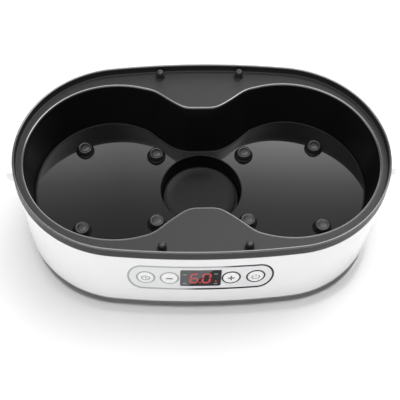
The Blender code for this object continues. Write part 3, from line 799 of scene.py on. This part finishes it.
# ---- shell
def make_shell():
    """Outer wall with its rounded foot, the shelf for the base and three cut-outs."""
    bottom = SHELL_BOTTOM_Z
    shelf = bottom + 0.0024 + FIT_GAP
    rings = [shell_ring(0.0006, SHELL_TOP_Z), shell_ring(0.0001, SHELL_TOP_Z - 0.0003),
             shell_ring(0.0, SHELL_TOP_Z - 0.0008)]
    rings += [shell_ring(0.0, z) for z in (0.0950, 0.0800, 0.0650, 0.0500, 0.0350, 0.0220)]
    corner = arc(0.0, bottom + CORNER_HEIGHT, CORNER_INSET, CORNER_HEIGHT, 0, -90, 14)
    rings += [shell_ring(CORNER_INSET - u, z) for u, z in corner]
    rings += [shell_ring(0.0078, bottom), shell_ring(0.0082, bottom + 0.0002),
              shell_ring(0.0082, shelf), shell_ring(0.0300, shelf),
              shell_ring(0.0300, shelf + 0.0030), shell_ring(0.0072, shelf + 0.0030),
              shell_ring(SHELL_WALL + 0.0010, shelf + 0.0090), shell_ring(SHELL_WALL, 0.0560),
              shell_ring(SHELL_WALL, SHELL_TOP_Z - 0.0060),
              rim_ring(0.0050, SHELL_TOP_Z - 0.0030), rim_ring(0.0050, 0.1052),
              rim_ring(0.0029, 0.1052), rim_ring(0.0029, SHELL_TOP_Z)]
    white = MAT["white_gloss"]
    shell = loft("outer_shell", rings, white, True, 40)
    low, high = box("power_inlet")
    cutters = [prism_y("cut_panel", panel_outline(0.0016), -CUT_FAR_Y, -CUT_NEAR_Y, white),
               block("cut_inlet", (low[0] - FIT_GAP, CUT_NEAR_Y, low[2] - FIT_GAP),
                     (high[0] + FIT_GAP, CUT_FAR_Y, high[2] + FIT_GAP), white)]
    cutters += [block("cut_lug", *swung(side, (0.17, -0.0093, 0.0857), (0.22, 0.0093, 0.0963)),
                      white) for side in (-1, 1)]
    combine(shell, cutters, "DIFFERENCE", 40)
    settle(shell, ["shell"])


def make_lugs():
    """White lug at each end, with rounded edges and its catch inside."""
    outline = [(LUG_REACH, 0.1000), (LUG_REACH, 0.0912), (0.2030, 0.0880),
               (0.1957, 0.0846), (0.1957, 0.1010), (0.2025, 0.1014)]
    white = MAT["white_gloss"]
    for side, name in ((-1, "left"), (1, "right")):
        bm = bmesh.new()
        rows = [[bm.verts.new((side * x, y, z)) for x, z in outline]
                for y in (-LUG_HALF_WIDTH, LUG_HALF_WIDTH)]
        bm.faces.new(rows[0])
        bm.faces.new(rows[1])
        bridge(bm, *rows)
        bmesh.ops.recalc_face_normals(bm, faces=bm.faces)
        bmesh.ops.bevel(bm, geom=bm.edges[:], offset=0.0009, segments=4, affect="EDGES",
                        profile=0.5)
        lug = make_object(f"end_lug_{name}", bm, white, 40)
        neck = swung(side, (0.1900, -0.0090, 0.0862), (0.1970, 0.0090, 0.0958))
        catch = swung(side, (0.1890, -0.0110, 0.0840), (0.1914, 0.0110, 0.0980))
        combine(lug, [block("neck", *neck, white), block("catch", *catch, white)], "UNION", 40)
        settle(lug, [f"grip_{name}"])


# ---- soft pieces
def make_pads():
    """Eight foot supports: a low skirt, a drum and a crowned top with a groove."""
    profile = [(0.0100, 0.0), (0.0103, 0.0003), (0.0098, 0.0010), (0.0090, 0.0018),
               (0.0085, 0.0030), (0.0082, 0.0046), (0.0079, 0.0056)]
    profile += arc(0.0064, 0.0056, 0.0015, 0.0013, 0, 90, 7)
    profile += [(0.0058, 0.0069), (0.0055, 0.0067), (0.0050, 0.0067), (0.0046, 0.0069),
                (0.0030, 0.00715), (0.0010, 0.0072)]
    for side, end in CORNERS:
        for row in ("outer", "inner"):
            node = f"pad_{side}_{row}_{end}"
            pad = turned(f"foot_{node}", profile, MAT["rubber_pad"], 48, under(node), angle=50)
            settle(pad, [node])


def make_studs():
    """Four round-topped studs on the rim."""
    profile = [(0.0049, 0.0), (0.0050, 0.0003), (0.0046, 0.0008), (0.0043, 0.0016),
               (0.0042, 0.0058)]
    profile += arc(0.0016, 0.0062, 0.0025, 0.0031, 0, 90, 9)
    profile += [(0.0010, 0.00935), (0.0004, 0.0094)]
    for side, end in CORNERS:
        node = f"stud_{end}_{side}"
        stud = turned(f"rim_{node}", profile, MAT["rubber_stud"], 40, under(node), angle=50)
        settle(stud, [node])


def make_heater_plate():
    """Disc on its stud, with a shallow tray inside a raised edge."""
    low = HEATER_LEDGE_Z + 0.0013
    stud_end = box("heater_plate")[0][2]
    profile = [(0.0022, stud_end), (0.0022, low), (0.0414, low), (0.0418, low + 0.0004),
               (0.0418, low + 0.0026), (0.0416, low + 0.0030), (0.0412, low + 0.0032),
               (0.0392, low + 0.0032), (0.0387, low + 0.0031), (0.0383, low + 0.0027),
               (0.0379, low + 0.0026), (0.0300, low + 0.0026), (0.0100, low + 0.0026)]
    plate = turned("heater_disc", profile, MAT["heater_coat"], 128, angle=45)
    settle(plate, ["heater_plate"])


# ---- panel
def segment_polygons(cx, cz, lit):
    """Seven-segment digit as hexagons, slanted a little; lit names the segments."""
    w, h = 0.0036, 0.0098
    tx, tz = 0.0011, 0.0017
    gap = 0.0002
    slant = 0.06

    def bar(x0, x1, z):
        return [(x0 + gap, z), (x0 + tx, z + tz), (x1 - tx, z + tz), (x1 - gap, z),
                (x1 - tx, z - tz), (x0 + tx, z - tz)]

    def post(x, z0, z1):
        return [(x, z0 + gap), (x + tx, z0 + tz), (x + tx, z1 - tz), (x, z1 - gap),
                (x - tx, z1 - tz), (x - tx, z0 + tz)]

    parts = {"a": bar(-w, w, h), "d": bar(-w, w, -h), "g": bar(-w, w, 0.0),
             "b": post(w, 0.0, h), "c": post(w, -h, 0.0), "e": post(-w, -h, 0.0),
             "f": post(-w, 0.0, h)}
    return [[(cx + x + slant * z, cz + z) for x, z in parts[k]] for k in lit]


def bow(cx, cz, radius, width, start, stop, count=28):
    """Arc-shaped stroke as one polygon, angles in degrees from +X."""
    outer, inner = [], []
    for i in range(count + 1):
        a = math.radians(start + (stop - start) * i / count)
        outer.append((cx + (radius + width / 2) * math.cos(a),
                      cz + (radius + width / 2) * math.sin(a)))
        inner.append((cx + (radius - width / 2) * math.cos(a),
                      cz + (radius - width / 2) * math.sin(a)))
    return outer + inner[::-1]


def stroke(x0, z0, x1, z1, width):
    """Straight stroke as one polygon."""
    run = Vector((x1 - x0, z1 - z0)).normalized() * width / 2
    return [(x0 - run.y, z0 + run.x), (x0 + run.y, z0 - run.x),
            (x1 + run.y, z1 - run.x), (x1 - run.y, z1 + run.x)]


def key_symbol(name, x, z):
    """Generic symbol for a key: clock, minus, plus or power."""
    if name == "minus":
        return [stroke(x - 0.0032, z, x + 0.0032, z, 0.0024)]
    if name == "plus":
        return [stroke(x - 0.0034, z, x + 0.0034, z, 0.0024),
                stroke(x, z + 0.0050, x, z + 0.0012, 0.0014),
                stroke(x, z - 0.0012, x, z - 0.0050, 0.0014)]
    if name == "timer":
        return [bow(x, z, 0.0042, 0.0008, 0, 178), bow(x, z, 0.0042, 0.0008, 182, 358),
                stroke(x, z + 0.0028, x, z, 0.0008),
                stroke(x, z, x + 0.0022, z - 0.0010, 0.0008)]
    return [bow(x, z - 0.0004, 0.0040, 0.0009, -235, 55),
            stroke(x, z + 0.0010, x, z + 0.0050, 0.0009)]


def make_plate():
    """Panel plate with holes for the keys and the window."""
    grey = MAT["panel_field"]
    holes = [prism_y("hole", key_outline(name, 0.0017), -CUT_FAR_Y, -CUT_NEAR_Y, grey)
             for name in KEYS]
    holes.append(prism_y("hole", window_outline(FIT_GAP), -CUT_FAR_Y, -CUT_NEAR_Y, grey))
    bm = bmesh.new()
    rows = [[bm.verts.new(p) for p in on_front(panel_outline(grow), depth)]
            for depth, grow in ((0.0024, 0.0), (0.0004, 0.0), (0.0002, -0.0002))]
    bm.faces.new(rows[0])
    for one, two in zip(rows, rows[1:]):
        bridge(bm, one, two)
    # Strips across the face join points that mirror each other in height, from the
    # right-hand tip of the outline to the left-hand one.
    face = rows[-1]
    count = len(face)
    tip = BAR_STEPS // 2
    for i in range(count // 2):
        one, two = (face[(tip + i + k) % count] for k in (0, 1))
        three, four = (face[(tip - i - k) % count] for k in (1, 0))
        bm.faces.new(list(dict.fromkeys((one, two, three, four))))
    plate = make_object("control_panel", bm, grey, 30)
    combine(plate, holes, "DIFFERENCE", 30)
    settle(plate, ["panel_plate"])


def make_trim():
    """Bead round the panel, wider above and below than at the ends."""
    bead = [(0.0, 0.0016), (0.0, 0.0), (0.15, -0.0002), (0.5, -0.0003), (0.85, -0.0002),
            (1.0, 0.0), (1.0, 0.0016)]
    inner_line = stadium(PANEL_X, PANEL_Z, PANEL_HALF_LENGTH, PANEL_HALF_HEIGHT - 0.0012,
                         PANEL_END, -0.0004)
    # Its material carries a painted reflection: light grey on the upper left, near black on the
    # right
    trim = front_band("panel_bead", panel_outline(0.0016), inner_line, bead,
                      MAT["trim_line"])
    settle(trim, ["panel_trim"])


def make_display():
    """Lens with its lit number and plain bars in place of labels."""
    # The lens material carries a painted reflection on its upper left
    lens = front_cap("display_lens", window_outline,
                     [(0.0, 0.0022), (0.0, 0.0003), (-0.0002, 0.0)], MAT["window_lens"],
                     (PANEL_X, PANEL_Z), 0.0001)
    settle(lens, ["display_window"])
    face = -0.00012
    thick = 0.00005
    digit_z = PANEL_Z + 0.0002
    digits = segment_polygons(PANEL_X - 0.0067, digit_z, "acdefg")
    digits += segment_polygons(PANEL_X + 0.0059, digit_z, "abcdef")
    digits.append(ellipse(PANEL_X - 0.0005, PANEL_Z - 0.0096, 0.0009, 0.0016, count=28))
    digits.append(ellipse(PANEL_X + 0.0156, PANEL_Z - 0.0066, 0.0010, 0.0014, count=28))
    lit = front_mark("display_digits", digits, face, thick, MAT["lit_segment"])
    settle(lit)
    labels = []
    for across, up in ((-0.0166, 0.0093), (-0.0162, -0.0107), (0.0154, 0.0103),
                       (0.0154, -0.0117)):
        for step, wide in ((0.0, 0.0022), (-0.0014, 0.0016)):
            x, z = PANEL_X + across, PANEL_Z + up + step
            labels.append(stroke(x - wide, z, x + wide, z, 0.0006))
    marks = front_mark("display_marks", labels, face, thick, MAT["label_grey"])
    settle(marks)


def make_keys():
    """Ring, cap and printed symbol of each key; cap and symbol move together."""
    ring_bead = [(0.0, 0.0017), (0.0, 0.0001), (0.2, -0.00015), (0.5, -0.0002),
                 (0.8, -0.00015), (1.0, 0.0001), (1.0, 0.0017)]
    cap_sides = [(0.0, 0.0028), (0.0, 0.0002), (-0.0001, -0.0001), (-0.0004, -0.0003),
                 (-0.0008, -0.0004)]
    for name in KEYS:
        x, _, z = middle(f"button_{name}")
        outer_line = ellipse(x, z, KEY_HALF_WIDTH, KEY_HALF_HEIGHT + 0.0007, 0.0016)
        # The ring's material carries a painted reflection: light grey to the left, near black to
        # the right
        ring = front_band(f"key_ring_{name}", outer_line, key_outline(name, 0.0003),
                          ring_bead, MAT["trim_line"])
        settle(ring, [f"ring_{name}"])
        cap = front_cap(f"key_cap_{name}", partial(key_outline, name), cap_sides,
                        MAT["key_white"], (x, z), 0.0002, 40)
        settle(cap, [f"button_{name}"], f"{name}_key")
        mark = front_mark(f"key_mark_{name}", key_symbol(name, x, z), -0.00055, 0.00006,
                          MAT["mark_grey"])
        settle(mark, (), f"{name}_key")


# ---- underside and back
def make_foot(side, end):
    """Rubber foot with two rings that touch the floor and a hole in the middle."""
    profile = [(0.0088, 0.0003), (0.0092, 0.0), (0.0096, 0.0004), (0.0100, 0.0010),
               (0.0100, 0.0027), (0.0020, 0.0027), (0.0020, 0.0018), (0.0022, 0.0012),
               (0.0050, 0.0010), (0.0054, 0.0002), (0.0058, 0.0), (0.0066, 0.0),
               (0.0070, 0.0003), (0.0072, 0.0006), (0.0084, 0.0006)]
    node = f"foot_{end}_{side}"
    foot = turned(f"rubber_{node}", profile, MAT["rubber_foot"], 64, under(node), True, 45)
    settle(foot, [node])


def make_screw(side, end):
    """Base screw with a cross cut into its head."""
    steel = MAT["turned_steel"]
    profile = [(0.0004, 0.0011), (0.0024, 0.0011), (0.0030, 0.0013), (0.0034, 0.0018),
               (0.0034, 0.0027), (0.0015, 0.0027), (0.0015, 0.0084), (0.0009, 0.0092)]
    x, y, _ = middle(f"base_screw_{end}_{side}")
    screw = turned(f"screw_{end}_{side}", profile, steel, 40, (x, y, 0.0))
    cross = [block("slot", (x - a, y - b, 0.0), (x + a, y + b, 0.0019), steel)
             for a, b in ((0.0019, 0.00035), (0.00035, 0.0019))]
    combine(screw, cross, "DIFFERENCE")
    settle(screw, [f"base_screw_{end}_{side}"])


def make_inlet():
    """Mains socket in the back wall with rounded edges and two pins."""
    black = MAT["moulded_black"]
    low, high = box("power_inlet")
    wall, floor, past = 0.0040, 0.0060, 0.0140
    body = block("mains_socket", low, high, black, 0.0010)
    cavity = block("cavity", (low[0] + wall, low[1] + floor, low[2] + wall),
                   (high[0] - wall, high[1] + past, high[2] - wall), black, 0.0022, 4)
    combine(body, [cavity], "DIFFERENCE", 40)
    settle(body, ["power_inlet"])
    profile = [(0.0012, 0.0), (0.0012, 0.0206), (0.0011, 0.0212), (0.0008, 0.0217),
               (0.0003, 0.0218)]
    for side in ("left", "right"):
        node = f"inlet_pin_{side}"
        x, _, z = middle(node)
        pin = turned(f"contact_pin_{side}", profile, MAT["brass_pin"], 32,
                     (x, box(node)[0][1], z), axis="Y")
        settle(pin, [node])


def finish_cad():
    """Materials and rounded edges for the CAD nodes that stay as they are."""
    looks = {"rim_gasket": "silicone", "heater_seal": "silicone",
             "heater_element": "cast_aluminium", "heater_clamp": "turned_steel",
             "heater_nut": "turned_steel", "temperature_sensor": "cast_aluminium",
             "thermal_fuse": "blue_film", "relay": "blue_film",
             "transformer": "winding_tape", "control_board": "green_board",
             "power_board": "green_board"}
    for node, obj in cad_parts.items():
        if obj.hide_render:
            continue
        mat = MAT[looks.get(node, "moulded_black")]
        obj.data.materials.clear()
        obj.data.materials.append(mat)
        edge = obj.modifiers.new("edge", "BEVEL")
        edge.width = 0.0002
        edge.segments = 2
        edge.limit_method = "ANGLE"
        edge.angle_limit = math.radians(40)


# ---- studio
def make_floor():
    """Wide flat floor in small squares, a hair below the feet."""
    places = [(i / FLOOR_STEPS - 0.5) * FLOOR_SIZE for i in range(FLOOR_STEPS + 1)]
    bm = bmesh.new()
    grid = [[bm.verts.new((x, y, 0.0)) for x in places] for y in places]
    for one, two in zip(grid, grid[1:]):
        for i in range(FLOOR_STEPS):
            bm.faces.new((one[i], one[i + 1], two[i + 1], two[i]))
    floor = make_object("studio_floor", bm, MAT["studio_floor"])
    floor.location.z = -FLOOR_SINK


def make_flags():
    """Two rings the camera can't see, which shade the floor in front of the base.

    The low one fills the gap under the shell's edge and is seen by diffuse light. The
    high one only casts a shadow. Both narrow to a sliver towards the ends and the back.
    """
    full_y, fade = -0.095, 0.055
    for name, near, far, height, seen in (("flag_low", -0.0010, 0.0036, 0.0020, True),
                                          ("flag_high", 0.0040, 0.0130, 0.0080, False)):
        inside, outside = (shell_ring(-grow, height) for grow in (near, far))
        edge = []
        for one, two in zip(inside, outside):
            share = min(max((full_y + fade - one[1]) / fade, 0.02), 1.0)
            edge.append(tuple(p + (q - p) * share for p, q in zip(one, two)))
        flag = loft(name, [inside, edge], MAT["studio_floor"], False, ends=False)
        flag.visible_camera = False
        flag.visible_glossy = False
        flag.visible_diffuse = seen


def side_light(g, xyz):
    """Factor on the sky: brighter right than left behind, the other way in front."""
    x, y, z = xyz.outputs
    aside = g.math("ABSOLUTE", x)
    side = g.spread(x, -0.3, 0.3, 0.15, 1.85)
    back = g.math("MULTIPLY", g.spread(y, -0.3, 0.1, 0.0, 1.0),
                  g.spread(z, 0.3, 0.7, 0.0, 1.0))
    back = g.math("MULTIPLY", back, g.spread(aside, 0.45, 0.70, 1.0, 0.0))
    back = g.math("MULTIPLY", back, g.spread(z, 0.88, 0.97, 1.0, 0.0))
    lean = g.math("ADD", g.math("MULTIPLY", g.math("SUBTRACT", side, 1.0), back), 1.0)
    lean = g.math("MULTIPLY", lean, g.spread(aside, 0.45, 0.75, 1.0, 0.34))
    front = g.math("MULTIPLY", g.spread(y, -0.3, 0.1, 1.0, 0.0),
                   g.spread(x, -0.6, 0.6, 0.45, -0.40))
    return g.math("MULTIPLY", lean, g.math("ADD", front, 1.0))


def make_sky():
    """Soft light whose brightness changes from the back, over the top, to the front."""
    world = bpy.data.worlds.new("studio")
    bpy.context.scene.world = world
    world.use_nodes = True
    g = Graph(world.node_tree)
    background = world.node_tree.nodes["Background"]
    xyz = g.node("ShaderNodeSeparateXYZ",
                 {0: g.node("ShaderNodeTexCoord").outputs["Generated"]})
    turn = g.math("DIVIDE", g.math("ARCTAN2", xyz.outputs[2], xyz.outputs[1]), math.pi)
    ramp = g.node("ShaderNodeValToRGB", {0: turn})
    points = ramp.color_ramp.elements
    while len(points) < len(SKY_STOPS):
        points.new(0.5)
    for point, (degrees, level) in zip(points, SKY_STOPS):
        point.position = degrees / 180
        point.color = (*[level / SKY_PEAK] * 3, 1.0)
    level = g.math("MULTIPLY", ramp.outputs[0], SKY_PEAK)
    level = g.math("MULTIPLY", level, side_light(g, xyz))
    background.inputs["Color"].default_value = (1.0, 1.0, 1.0, 1.0)
    g.tree.links.new(level, background.inputs["Strength"])
    bpy.context.scene.view_settings.view_transform = "Standard"


def make_camera():
    """Camera at the photo's viewing angle, aimed at the middle of the underside."""
    camera = bpy.data.cameras.new("camera")
    camera.lens = CAMERA_LENS
    camera.sensor_width = 36.0
    camera.shift_y = CAMERA_SHIFT
    camera.clip_start = 0.05
    eye = bpy.data.objects.new("camera", camera)
    bpy.context.scene.collection.objects.link(eye)
    height, swing, roll = (math.radians(angle) for angle in
                           (CAMERA_ELEVATION, CAMERA_SWING, CAMERA_ROLL))
    flat = CAMERA_DISTANCE * math.cos(height)
    eye.location = (-flat * math.sin(swing), -flat * math.cos(swing),
                    CAMERA_DISTANCE * math.sin(height))
    look = (-eye.location).to_track_quat("-Z", "Y").to_matrix()
    eye.rotation_euler = (look @ Matrix.Rotation(roll, 3, "Z")).to_euler()
    bpy.context.scene.camera = eye


MAT = make_materials()
make_tub()
make_shell()
make_lugs()
make_pads()
make_studs()
make_heater_plate()
make_plate()
make_trim()
make_display()
make_keys()
for corner in CORNERS:
    make_foot(*corner)
    make_screw(*corner)
make_inlet()
finish_cad()
make_floor()
make_flags()
make_sky()
make_camera()
